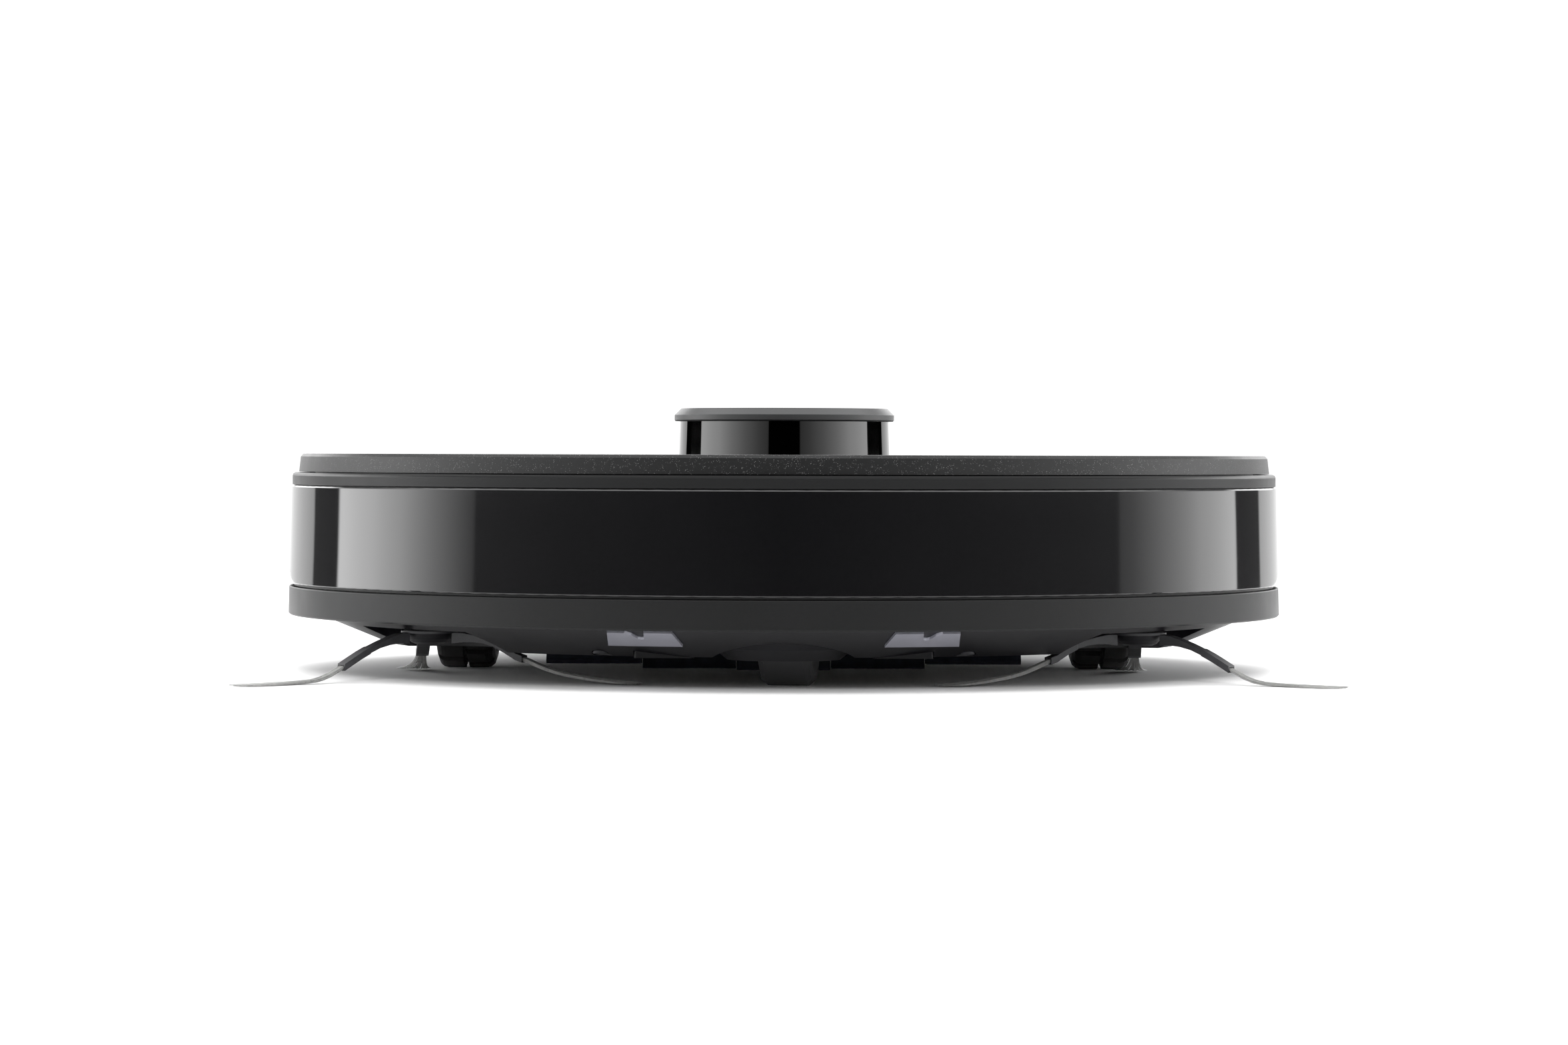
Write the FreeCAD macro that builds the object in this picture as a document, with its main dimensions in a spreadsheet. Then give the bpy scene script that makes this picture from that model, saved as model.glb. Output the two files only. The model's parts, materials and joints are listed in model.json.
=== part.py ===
import FreeCAD, Part
import math
import os
from types import SimpleNamespace

import Sketcher

# Robot vacuum cleaner with a laser turret, two side brushes and one main brush.
# Millimetres. Front is -Y, right hand side seen from the front is +X, +Z up.
# The origin lies on the floor under the centre of the round body.

os.makedirs("parts", exist_ok=True)
doc = FreeCAD.newDocument("RobotVacuum")
sheet = doc.addObject("Spreadsheet::Sheet", "Dims")

DIMENSIONS = {
    # round body
    "body_radius": 176.5,
    "floor_gap": 10.2,
    "flat_radius": 142,
    "cone_radius": 166,
    "cone_top": 20,
    "hull_radius": 167,
    "wall": 2.5,
    "deck_under": 74,
    "deck_top": 76.6,
    "deck_radius": 172.8,
    "deck_skirt_bottom": 70.3,
    # bumper
    "bumper_top": 70,
    "bumper_band_top": 30,
    "bumper_inner": 172.4,
    "bumper_recess": 174.4,
    "bumper_rim_radius": 175.1,
    "bumper_lip_radius": 170,
    "window_bottom": 31,
    "window_top": 65.4,
    "window_low_radius": 176.1,
    "window_high_radius": 175.3,
    "bumper_gap": 3.2,
    "spring_x": 60,
    "spring_z": 44,
    # turret
    "turret_y": 50,
    "turret_radius": 38.7,
    "turret_flange": 42,
    "turret_bore": 36.6,
    "turret_window_top": 88.9,
    "cap_radius": 40.5,
    "cap_chamfer_bottom": 91.2,
    "total_height": 93.6,
    "head_radius": 31,
    "pulley_radius": 26,
    "small_pulley_radius": 5,
    "lidar_motor_x": 52,
    # lid
    "lid_half_width": 88,
    "lid_front": 136,
    "lid_thickness": 2.6,
    "lid_corner": 22,
    "hinge_y": 4,
    "hinge_z": 74.1,
    "pin_radius": 1.2,
    # side brushes
    "side_brush_x": 120,
    "side_brush_y": 90,
    "side_recess_radius": 33,
    "side_recess_top": 17.5,
    "hub_bottom": 12.4,
    "hub_radius": 8.6,
    "arm_width": 3.8,
    "left_brush_turn": 98.5,
    "right_brush_turn": 87.5,
    # main brush
    "brush_y": 22,
    "brush_z": 21,
    "brush_radius": 20.4,
    "sleeve_radius": 9.4,
    "core_radius": 7.6,
    "brush_half_length": 84,
    "bay_half_width": 93,
    "bay_front": 52,
    "bay_rear": 8,
    "bay_top": 44,
    # drive wheels
    "wheel_x": 103,
    "wheel_width": 20.6,
    "wheel_y": 6,
    "wheel_radius": 33,
    "rim_radius": 27,
    "pivot_y": 54,
    "pivot_z": 40,
    "motor_radius": 12,
    # caster
    "caster_y": 128.7,
    "caster_trail": 11.5,
    "caster_turn": 9,
    "caster_radius": 13,
    "caster_width": 18,
    "caster_well": 26,
    # dust path
    "bin_half_width": 78,
    "bin_front": 132,
    "bin_rear": 56.4,
    "bin_floor": 34,
    "bin_top": 70.6,
    "fan_x": 66,
    "fan_y": 96,
    "fan_radius": 33,
    "fan_floor": 38,
    "fan_roof": 61.6,
    # power
    "battery_half_width": 65,
    "battery_front": 23,
    "battery_rear": 91,
    "battery_top": 35,
    "board_z": 39.2,
    # floor sensors and contacts
    "contact_inner": 32,
    "contact_outer": 57.4,
    "cliff_x": 39.3,
    "cliff_y": 134,
    "button_y": 151,
    "button_radius": 6.6,
}


class Size:
    """A length that carries its value together with the sheet formula behind it."""

    def __init__(self, value, text):
        self.value = value
        self.text = text

    def __add__(self, other):
        other = size(other)
        return Size(self.value + other.value, f"({self.text} + {other.text})")

    def __sub__(self, other):
        other = size(other)
        return Size(self.value - other.value, f"({self.text} - {other.text})")

    def __mul__(self, other):
        other = size(other)
        return Size(self.value * other.value, f"({self.text} * {other.text})")

    def __truediv__(self, other):
        other = size(other)
        return Size(self.value / other.value, f"({self.text} / {other.text})")

    def __neg__(self):
        return Size(-self.value, f"(0 - {self.text})")

    __radd__ = __add__
    __rmul__ = __mul__

    def __rsub__(self, other):
        return size(other) - self


def size(length):
    if isinstance(length, Size):
        return length
    return Size(float(length), f"({float(length)})")


for row, (name, value) in enumerate(DIMENSIONS.items(), start=1):
    sheet.set(f"A{row}", name)
    sheet.set(f"B{row}", str(value))
    sheet.setAlias(f"B{row}", name)
doc.recompute()
d = SimpleNamespace(**{name: Size(float(value), f"Dims.{name}") for name, value in DIMENSIONS.items()})

WIDE = 400
nodes = []


# ---------------------------------------------------------------- drawing helpers

def new_body(name):
    body = doc.addObject("PartDesign::Body", name)
    body.Label = name
    nodes.append(body)
    return body


def origin_item(body, role):
    return next(item for item in body.Origin.OriginFeatures if item.Role == role)


def place(body, x=0, y=0, z=0, axis=(0, 0, 1), angle=0):
    """Put the body at x, y, z, turned about one axis; every value stays bound to the sheet."""
    turn = size(angle)
    rotation = FreeCAD.Rotation(FreeCAD.Vector(*axis), turn.value)
    body.Placement = FreeCAD.Placement(FreeCAD.Vector(0, 0, 0), rotation)
    for letter, length in (("x", x), ("y", y), ("z", z)):
        body.setExpression(f"Placement.Base.{letter}", size(length).text)
    if turn.value:
        body.setExpression("Placement.Rotation.Angle", turn.text)


def disc(x, y, radius):
    return ("disc", size(x), size(y), size(radius))


def poly(*points):
    return ("poly", [(size(x), size(y)) for x, y in points])


def rect(x0, y0, x1, y1):
    return poly((x0, y0), (x1, y0), (x1, y1), (x0, y1))


def fix_point(sketch, edge, which, x, y):
    """Pin one sketch point to its coordinates."""
    for kind, axis, length in (("DistanceX", -2, x), ("DistanceY", -1, y)):
        if abs(length.value) < 1e-9:
            sketch.addConstraint(Sketcher.Constraint("PointOnObject", edge, which, axis))
        else:
            number = sketch.addConstraint(Sketcher.Constraint(kind, -1, 1, edge, which, length.value))
            sketch.setExpression(f"Constraints[{number}]", length.text)


def draw(sketch, loop):
    if loop[0] == "disc":
        _, x, y, radius = loop
        centre = FreeCAD.Vector(x.value, y.value, 0)
        edge = sketch.addGeometry(Part.Circle(centre, FreeCAD.Vector(0, 0, 1), radius.value), False)
        fix_point(sketch, edge, 3, x, y)
        number = sketch.addConstraint(Sketcher.Constraint("Radius", edge, radius.value))
        sketch.setExpression(f"Constraints[{number}]", radius.text)
        return
    points = loop[1]
    corners = [FreeCAD.Vector(x.value, y.value, 0) for x, y in points]
    count = len(corners)
    base = sketch.GeometryCount
    lines = [Part.LineSegment(corners[i], corners[(i + 1) % count]) for i in range(count)]
    sketch.addGeometry(lines, False)
    for i in range(count):
        sketch.addConstraint(Sketcher.Constraint("Coincident", base + i, 2, base + (i + 1) % count, 1))
    for i, (x, y) in enumerate(points):
        fix_point(sketch, base + i, 1, x, y)


def outline(body, plane, offset, loops, turn=0):
    """A sketch on one origin plane, moved along the plane normal and turned about world Z."""
    sketch = body.newObject("Sketcher::SketchObject", "Outline")
    sketch.AttachmentSupport = [(origin_item(body, plane + "_Plane"), "")]
    sketch.MapMode = "FlatFace"
    if turn:
        axis = FreeCAD.Vector(0, 0, 1) if plane == "XY" else FreeCAD.Vector(0, 1, 0)
        rotation = FreeCAD.Rotation(axis, turn)
        shift = rotation.multVec(FreeCAD.Vector(0, 0, size(offset).value))
        sketch.AttachmentOffset = FreeCAD.Placement(shift, rotation)
    else:
        sketch.setExpression("AttachmentOffset.Base.z", size(offset).text)
    for loop in loops:
        draw(sketch, loop)
    return sketch


def add(body, plane, low, high, *loops, turn=0):
    """Material between two heights along the plane normal."""
    low, high = size(low), size(high)
    start = -high if plane == "XZ" else low
    pad = body.newObject("PartDesign::Pad", "Pad")
    pad.Profile = outline(body, plane, start, loops, turn)
    pad.setExpression("Length", (high - low).text)
    return pad


def cut(body, plane, low, high, *loops, turn=0):
    """Material taken away between two heights along the plane normal."""
    low, high = size(low), size(high)
    start = -low if plane == "XZ" else high
    pocket = body.newObject("PartDesign::Pocket", "Pocket")
    pocket.Profile = outline(body, plane, start, loops, turn)
    pocket.setExpression("Length", (high - low).text)
    return pocket


def spin(body, *loops, angle=360, turn=0, remove=False):
    """Material swept about the body's Z axis from a profile drawn as radius and height."""
    kind = "PartDesign::Groove" if remove else "PartDesign::Revolution"
    feature = body.newObject(kind, "Turned")
    feature.Profile = outline(body, "XZ", 0, loops, turn)
    feature.ReferenceAxis = (origin_item(body, "Z_Axis"), [""])
    feature.Angle = angle
    feature.Reversed = False
    return feature


def around(body, features, count, angle=360):
    """Repeat features about the body's Z axis."""
    pattern = body.newObject("PartDesign::PolarPattern", "Around")
    pattern.Originals = features
    pattern.Axis = (origin_item(body, "Z_Axis"), [""])
    pattern.Angle = angle
    pattern.Occurrences = count
    body.Tip = pattern
    return pattern


def along(body, features, count, length, axis="X_Axis"):
    """Repeat features in a row."""
    pattern = body.newObject("PartDesign::LinearPattern", "Row")
    pattern.Originals = features
    pattern.Direction = (origin_item(body, axis), [""])
    pattern.setExpression("Length", size(length).text)
    pattern.Occurrences = count
    body.Tip = pattern
    return pattern


def round_edges(body, radius, wanted, kind="PartDesign::Fillet"):
    """Fillet or chamfer the edges that pass the test."""
    doc.recompute()
    tip = body.Tip
    names = [f"Edge{i + 1}" for i, edge in enumerate(tip.Shape.Edges) if wanted(edge)]
    feature = body.newObject(kind, "Rounded")
    feature.Base = (tip, names)
    feature.setExpression("Size" if kind.endswith("Chamfer") else "Radius", size(radius).text)
    return feature


def upright(edge, corners, reach=1.0):
    """True for a vertical edge standing at one of the corners."""
    first, last = edge.Vertexes[0].Point, edge.Vertexes[-1].Point
    if math.hypot(first.x - last.x, first.y - last.y) > 1e-6 or abs(first.z - last.z) < 0.1:
        return False
    return any(math.hypot(first.x - x, first.y - y) < reach for x, y in corners)


def between(side, near, far):
    """Low and high X of a span given as distances from the middle, on the left (-1) or right (+1)."""
    near, far = size(near), size(far)
    return (near, far) if side > 0 else (-far, -near)


SIDES = (("left", -1), ("right", 1))


def cone_height(radius):
    """Underside height of the sloping outer edge of the hull at a radius."""
    slope = (d.cone_top - d.floor_gap) / (d.cone_radius - d.flat_radius)
    return d.floor_gap + (radius - d.flat_radius) * slope


# ---------------------------------------------------------------- hull

SCREW_SPOTS = ((-60, -130), (60, -130), (-88, 104), (88, 104), (-40, 132), (40, 132))


def make_chassis():
    body = new_body("chassis")
    inside = d.floor_gap + d.wall
    inner = d.hull_radius - d.wall
    spin(body, poly((0, d.floor_gap), (d.flat_radius, d.floor_gap), (d.cone_radius, d.cone_top),
                    (d.hull_radius, d.cone_top), (d.hull_radius, d.deck_under), (inner, d.deck_under),
                    (inner, d.cone_top + 2), (d.flat_radius - 1, inside), (0, inside)))
    # brush bay, suction neck and battery bay
    add(body, "XY", d.floor_gap, d.bay_top + 2,
        rect(-d.bay_half_width - 2, -d.bay_front - 2, d.bay_half_width + 2, d.bay_rear + 2))
    add(body, "XY", d.bin_floor, d.bay_top + 2, rect(-27, -d.bay_front - 4, 27, -d.bay_front - 1))
    add(body, "XY", d.floor_gap, d.fan_floor,
        rect(-d.battery_half_width - 4, d.battery_front - 3, d.battery_half_width + 4, d.battery_rear + 3))
    # caster turret, side brush roofs, screw posts, bin posts
    add(body, "XY", d.floor_gap, d.bin_floor - 1.4, disc(0, -d.caster_y, d.caster_well + 2.2))
    add(body, "XY", d.floor_gap, d.side_recess_top + 2.5,
        disc(d.side_brush_x, -d.side_brush_y, d.side_recess_radius + 2.5),
        disc(-d.side_brush_x, -d.side_brush_y, d.side_recess_radius + 2.5))
    add(body, "XY", d.floor_gap, 21, *[disc(x, y, 5) for x, y in SCREW_SPOTS])
    add(body, "XY", d.floor_gap + 1, d.bin_floor,
        *[disc(x, y, 4) for x in (-62, 62) for y in (-70, -116)])
    for side in (-1, 1):
        x_low, x_high = between(side, 124.6, 126.6)
        add(body, "YZ", x_low, x_high, rect(-31, d.floor_gap, 46, 70))
        x_low, x_high = between(side, 102.4, 126.6)
        add(body, "YZ", x_low, x_high, rect(-31, d.floor_gap, -29, 70))
        add(body, "YZ", x_low, x_high, rect(-30, 68, 46, 70))
        # wheel pivot post and spring bracket
        x_low, x_high = between(side, 90, 96)
        add(body, "YZ", x_low, x_high, poly((d.pivot_y - 6, d.floor_gap + 1), (d.pivot_y + 6, d.floor_gap + 1),
                                            (d.pivot_y + 6, d.pivot_z + 5), (d.pivot_y - 6, d.pivot_z + 5)))
        x_low, x_high = between(side, 80.6, 96)
        add(body, "YZ", x_low, x_high, poly((60, d.floor_gap + 1), (64, d.floor_gap + 1), (64, 69),
                                            (22, 69), (22, 66), (60, 66)))
        # cup for the bumper spring
        x_low, x_high = between(side, d.spring_x - 5.5, d.spring_x + 5.5)
        add(body, "YZ", x_low, x_high, rect(-162, d.spring_z - 5.5, -145.5, d.spring_z + 5.5))
    # nothing stands proud of the hull's own outside
    spin(body, poly((d.flat_radius, 0), (d.flat_radius, d.floor_gap), (d.cone_radius, d.cone_top),
                    (d.hull_radius, d.cone_top), (d.hull_radius, d.deck_under + 2),
                    (d.hull_radius + 40, d.deck_under + 2), (d.hull_radius + 40, 0)), remove=True)
    # openings
    cut(body, "XY", 0, d.bay_top,
        rect(-d.bay_half_width, -d.bay_front, d.bay_half_width, d.bay_rear))
    cut(body, "XZ", -d.bay_front - 8, -d.bay_front + 4, rect(-24, 36, 24, d.bay_top - 1))
    cut(body, "XY", 0, d.battery_top + 1,
        rect(-d.battery_half_width - 1, d.battery_front - 1, d.battery_half_width + 1, d.battery_rear + 1))
    cut(body, "XY", 0, 30, disc(0, -d.caster_y, d.caster_well))
    cut(body, "XY", 20, d.bin_floor, disc(0, -d.caster_y, 3.4))
    cut(body, "XY", 0, d.side_recess_top,
        disc(d.side_brush_x, -d.side_brush_y, d.side_recess_radius),
        disc(-d.side_brush_x, -d.side_brush_y, d.side_recess_radius))
    cut(body, "XY", 10, 24, disc(d.side_brush_x, -d.side_brush_y, 3.6),
        disc(-d.side_brush_x, -d.side_brush_y, 3.6))
    cut(body, "XY", 0, 13, *[disc(x, y, 3.4) for x, y in SCREW_SPOTS])
    cut(body, "XY", 0, 30, *[disc(x, y, 1.7) for x, y in SCREW_SPOTS])
    cut(body, "XY", 0, 16, rect(d.cliff_x - 10, -d.cliff_y - 4.5, d.cliff_x + 10, -d.cliff_y + 4.5),
        rect(-d.cliff_x - 10, -d.cliff_y - 4.5, -d.cliff_x + 10, -d.cliff_y + 4.5))
    for side in (-1, 1):
        x_low, x_high = between(side, 96, 124.6)
        cut(body, "XY", 0, 15, rect(x_low, -29, x_high, 46))
        x_low, x_high = between(side, 88, 98)
        cut(body, "YZ", x_low, x_high, disc(d.pivot_y, d.pivot_z, 3))
        cut(body, "XZ", -170, -147.5, disc(side * d.spring_x, d.spring_z, 3.9))
        cut(body, "XZ", -170, -125, disc(side * 92, d.spring_z, 1.8))
    # shaft hole of the main brush drive and air outlet of the fan
    cut(body, "YZ", d.bay_half_width - 3, d.bay_half_width + 3, disc(-d.brush_y, d.brush_z, 6))
    cut(body, "XZ", 110, 170, rect(-98, 41, -80, 57))


def make_rear_skirt():
    body = new_body("rear_skirt")
    edge = d.bumper_rim_radius
    spin(body, poly((d.hull_radius, d.cone_top), (d.body_radius, d.cone_top), (d.body_radius, d.bumper_band_top),
                    (d.window_low_radius, d.window_bottom), (d.window_high_radius, d.window_top),
                    (edge, d.window_top + 0.4), (edge, d.bumper_top - 1), (edge - 1, d.bumper_top),
                    (d.hull_radius, d.bumper_top), (d.hull_radius, d.bumper_top - 2.5),
                    (d.bumper_inner, d.bumper_top - 2.5), (d.bumper_inner, d.cone_top + 2.5),
                    (d.hull_radius, d.cone_top + 2.5)))
    cut(body, "XY", 0, 100, rect(-WIDE, -WIDE, WIDE, d.bumper_gap))
    slot = cut(body, "XZ", 100, 175, rect(-106, 40, -103, 58))
    along(body, [slot], 9, 48)


def make_top_deck():
    body = new_body("top_deck")
    edge = d.deck_radius
    spin(body, poly((0, d.deck_under), (edge - 3, d.deck_under), (edge - 2.6, d.deck_skirt_bottom),
                    (edge, d.deck_skirt_bottom), (edge - 0.6, d.deck_top - 1), (edge - 1.5, d.deck_top),
                    (0, d.deck_top)))
    cut(body, "XY", 60, 80, disc(0, d.turret_y, d.turret_radius + 0.5))
    half = d.lid_half_width + 0.6
    front = -d.lid_front - 0.6
    cut(body, "XY", 60, 80, rect(-half, front, half, 0.9 + 0.6))
    # seats of the lid hinge pins
    for side in (-1, 1):
        x_low, x_high = between(side, half, half + 8)
        add(body, "YZ", x_low, x_high, rect(-d.hinge_y - 4, 70.6, -d.hinge_y + 4, d.deck_under + 0.2))
        x_low, x_high = between(side, half - 1, half + 6)
        cut(body, "YZ", x_low, x_high, disc(-d.hinge_y, d.hinge_z, d.pin_radius))
    cut(body, "XY", 60, 80, disc(0, -d.button_y, d.button_radius + 0.4))
    corners = [(x * half.value, front.value) for x in (-1, 1)]
    round_edges(body, d.lid_corner + 0.6, lambda edge: upright(edge, corners))


def make_lid():
    body = new_body("lid")
    low = d.deck_top - d.lid_thickness
    half = d.lid_half_width
    add(body, "XY", low, d.deck_top, rect(-half, -d.lid_front, half, -0.4))
    for side in (-1, 1):
        x_low, x_high = between(side, half - 9, half)
        add(body, "YZ", x_low, x_high, poly((-d.hinge_y - 3, 71.2), (-d.hinge_y + 2.2, 71.2),
                                            (-0.6, low + 0.1), (-16, low + 0.1)))
        x_low, x_high = between(side, half - 7, half + 1)
        cut(body, "YZ", x_low, x_high, disc(-d.hinge_y, d.hinge_z, d.pin_radius + 0.25))
    # finger recess in the front edge
    cut(body, "XY", d.deck_top - 1, d.deck_top + 1, rect(-16, -d.lid_front - 1, 16, -d.lid_front + 9))
    corners = [(x * half.value, -d.lid_front.value) for x in (-1, 1)]
    round_edges(body, d.lid_corner, lambda edge: upright(edge, corners))


def make_hinge_pins():
    body = new_body("lid_hinge_pins")
    for side in (-1, 1):
        x_low, x_high = between(side, d.lid_half_width - 6, d.lid_half_width + 6)
        add(body, "YZ", x_low, x_high, disc(-d.hinge_y, d.hinge_z, d.pin_radius))


def make_button():
    body = new_body("power_button")
    spin(body, poly((0, 71), (d.button_radius + 1.2, 71), (d.button_radius + 1.2, 72.6),
                    (d.button_radius, 72.6), (d.button_radius, 75.8), (d.button_radius - 0.6, d.deck_top - 0.2),
                    (2, d.deck_top - 0.5), (0, d.deck_top - 0.5)))
    place(body, y=-d.button_y)


# ---------------------------------------------------------------- bumper

def make_bumper_shell():
    body = new_body("bumper_shell")
    rim = d.bumper_rim_radius
    spin(body, poly((d.bumper_inner, d.cone_top + 0.6), (d.bumper_inner + 0.6, d.cone_top),
                    (d.body_radius - 0.5, d.cone_top), (d.body_radius, d.cone_top + 0.5),
                    (d.body_radius - 0.2, d.bumper_band_top - 0.3), (d.body_radius - 0.5, d.bumper_band_top),
                    (d.bumper_recess, d.bumper_band_top + 0.2), (d.bumper_recess, d.window_top + 0.2),
                    (rim, d.window_top + 0.4), (rim, d.bumper_top - 1.1), (rim - 0.3, d.bumper_top - 0.4),
                    (rim - 1, d.bumper_top), (d.bumper_lip_radius, d.bumper_top),
                    (d.bumper_lip_radius, d.bumper_top - 2), (d.bumper_inner, d.bumper_top - 2)))
    cut(body, "XY", 0, 100, rect(-WIDE, 0, WIDE, WIDE))
    for side in (-1, 1):
        x_low, x_high = between(side, d.spring_x - 4.5, d.spring_x + 4.5)
        add(body, "YZ", x_low, x_high, rect(-166, d.spring_z - 4.5, -160, d.spring_z + 4.5))
    spin(body, rect(d.bumper_recess, d.window_bottom + 1, d.bumper_recess + 20, d.window_top - 1), remove=True)


def make_bumper_window():
    body = new_body("bumper_window")
    spin(body, poly((d.bumper_recess, d.window_bottom), (d.window_low_radius - 0.3, d.window_bottom),
                    (d.window_low_radius, d.window_bottom + 0.4), (d.window_high_radius, d.window_top - 0.5),
                    (d.window_high_radius - 0.4, d.window_top), (d.bumper_recess, d.window_top)))
    cut(body, "XY", 0, 100, rect(-WIDE, -5, WIDE, WIDE))


def make_spring(name, coil, wire, turns, length, x, y, z, axis, angle):
    body = new_body(name)
    helix = body.newObject("PartDesign::AdditiveHelix", "Coil")
    helix.Profile = outline(body, "XZ", 0, [disc(coil, wire, wire)])
    helix.ReferenceAxis = (origin_item(body, "Z_Axis"), [""])
    helix.Mode = 2
    helix.Height = length - 2 * wire
    helix.Turns = turns
    place(body, x=x, y=y, z=z, axis=axis, angle=angle)


def make_bumper_switch(name, side):
    body = new_body(name)
    x_low, x_high = between(side, 86, 98)
    add(body, "YZ", x_low, x_high, rect(-130, d.spring_z - 3, -121, d.spring_z + 3))
    add(body, "XZ", -142.6, -129, disc(side * 92, d.spring_z, 1.3))
    for offset in (-3.5, 0, 3.5):
        add(body, "XZ", -122, -117.5, disc(side * 92 + offset, d.spring_z, 0.5))


def make_cliff_window(name, side):
    body = new_body(name)
    x_low, x_high = between(side, d.cliff_x - 9.8, d.cliff_x + 9.8)
    add(body, "XY", d.floor_gap - 0.4, d.floor_gap + 3,
        rect(x_low, -d.cliff_y - 4.3, x_high, -d.cliff_y + 4.3))
    corners = [(x.value, -d.cliff_y.value + y) for x in (x_low, x_high) for y in (-4.3, 4.3)]
    round_edges(body, 1.2, lambda edge: upright(edge, corners))
    x_low, x_high = between(side, d.cliff_x - 7, d.cliff_x + 7)
    add(body, "XY", d.floor_gap + 2.6, d.floor_gap + 7, rect(x_low, -d.cliff_y - 2.5, x_high, -d.cliff_y + 4.3))


def make_contact(name, side):
    """Sheet metal plate lying on the sloping edge of the hull."""
    body = new_body(name)
    low, high = size(153.4), size(164.8)
    lift = 0.8
    spin(body, poly((low, cone_height(low)), (high, cone_height(high)),
                    (high + 0.35, cone_height(high) - lift), (low + 0.35, cone_height(low) - lift)))
    outer = side * d.contact_outer
    cut(body, "XY", 0, 40, rect(outer, -WIDE, side * WIDE, WIDE))
    cut(body, "XY", 0, 40, rect(-side * WIDE, -100, side * WIDE, WIDE))
    # inner end cut aslant, and a notch in the front edge
    cut(body, "XY", 0, 40, poly((side * (d.contact_inner - 2.2), -100), (side * (d.contact_inner - 2.2), -140),
                                (side * (d.contact_inner + 6.9), -170), (-side * WIDE, -170),
                                (-side * WIDE, -100)))
    cut(body, "XY", 0, 40, poly((side * 45.4, -170), (side * 45.4, -153.4), (side * 46.4, -152.8),
                                (side * 47.4, -153), (side * 49.4, -155.6), (side * 53, -157.4),
                                (side * 53, -170)))


def make_screws():
    body = new_body("body_screws")
    add(body, "XY", 11, 13, *[disc(x, y, 3.1) for x, y in SCREW_SPOTS])
    add(body, "XY", 12.5, 20.6, *[disc(x, y, 1.7) for x, y in SCREW_SPOTS])
    for x, y in SCREW_SPOTS:
        cut(body, "XY", 10.8, 11.9, poly((x - 1.9, y - 0.4), (x + 1.9, y - 0.4), (x + 1.9, y + 0.4),
                                         (x - 1.9, y + 0.4)))
        cut(body, "XY", 10.8, 11.9, poly((x - 0.4, y - 1.9), (x + 0.4, y - 1.9), (x + 0.4, y + 1.9),
                                         (x - 0.4, y + 1.9)))


# ---------------------------------------------------------------- laser turret

def make_turret_window():
    body = new_body("turret_window")
    spin(body, poly((d.turret_radius - 0.25, d.turret_window_top), (d.turret_radius + 0.15, d.deck_top),
                    (d.turret_radius + 0.15, d.deck_under), (d.turret_flange, d.deck_under),
                    (d.turret_flange, 72.4), (d.turret_bore, 72.4), (d.turret_bore, d.turret_window_top)))
    place(body, y=d.turret_y)


def make_turret_cap():
    body = new_body("turret_cap")
    spin(body, poly((0, d.total_height), (d.cap_radius * 0.94, d.total_height),
                    (d.cap_radius, d.cap_chamfer_bottom), (d.cap_radius, d.turret_window_top + 0.4),
                    (d.cap_radius - 0.4, d.turret_window_top), (d.turret_bore - 0.1, d.turret_window_top),
                    (d.turret_bore - 0.1, 87.6), (d.turret_bore - 1.8, 87.6),
                    (d.turret_bore - 1.8, 91), (0, 91)))
    place(body, y=d.turret_y)


def make_lidar_base():
    body = new_body("lidar_base")
    add(body, "XY", 63, 65.5, disc(0, 0, 45))
    add(body, "XY", 63, 65.5, rect(30, -11, d.lidar_motor_x + 11, 11))
    spin(body, poly((0, 65), (9, 65), (8, 67.5), (8, 72), (0, 72)))
    post = add(body, "XY", 65, d.deck_under, disc(0, d.turret_flange + 2.9, 2))
    around(body, [post], 3)
    cut(body, "XY", 60, 70, disc(d.lidar_motor_x, 0, 3.6))
    place(body, y=d.turret_y)


def make_lidar_head():
    body = new_body("lidar_head")
    neck = d.pulley_radius - 1.4
    spin(body, poly((0, 72.6), (8.4, 72.6), (8.4, 67.9), (d.pulley_radius, 67.9), (d.pulley_radius, 68.7),
                    (neck, 68.7), (neck, 71.3), (d.pulley_radius, 71.3), (d.pulley_radius, 72.2),
                    (22, 72.2), (22, 74), (d.head_radius, 75), (d.head_radius, 85.6),
                    (d.head_radius - 1, 86.6), (0, 86.6)))
    cut(body, "XY", 74.5, 90, rect(-40, -40, 40, -23))
    cut(body, "XZ", -40, -18, disc(-11, 80.5, 5.2), disc(11, 80.5, 3.2))
    place(body, y=d.turret_y)


def make_lidar_lens():
    body = new_body("lidar_lens")
    spin(body, poly((0, 0), (5, 0), (5, 3.4), (3.6, 4.2), (0, 4.8)))
    place(body, x=-11, y=d.turret_y - 18.2, z=80.5, axis=(1, 0, 0), angle=90)


def make_lidar_motor():
    body = new_body("lidar_motor")
    spin(body, poly((0, 46), (8, 46), (9, 47), (9, 61), (8, 62.8), (3.2, 62.8), (3.2, 66), (1.2, 66), (1.2, 68),
                    (0, 68)))
    place(body, x=d.lidar_motor_x, y=d.turret_y)


def make_lidar_pulley():
    body = new_body("lidar_pulley")
    rim = d.small_pulley_radius
    spin(body, poly((1.3, 67.9), (rim, 67.9), (rim, 68.7), (rim - 1.4, 68.7), (rim - 1.4, 71.3), (rim, 71.3),
                    (rim, 72), (0, 72), (0, 68.2), (1.3, 68.2)))
    place(body, x=d.lidar_motor_x, y=d.turret_y)


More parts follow.
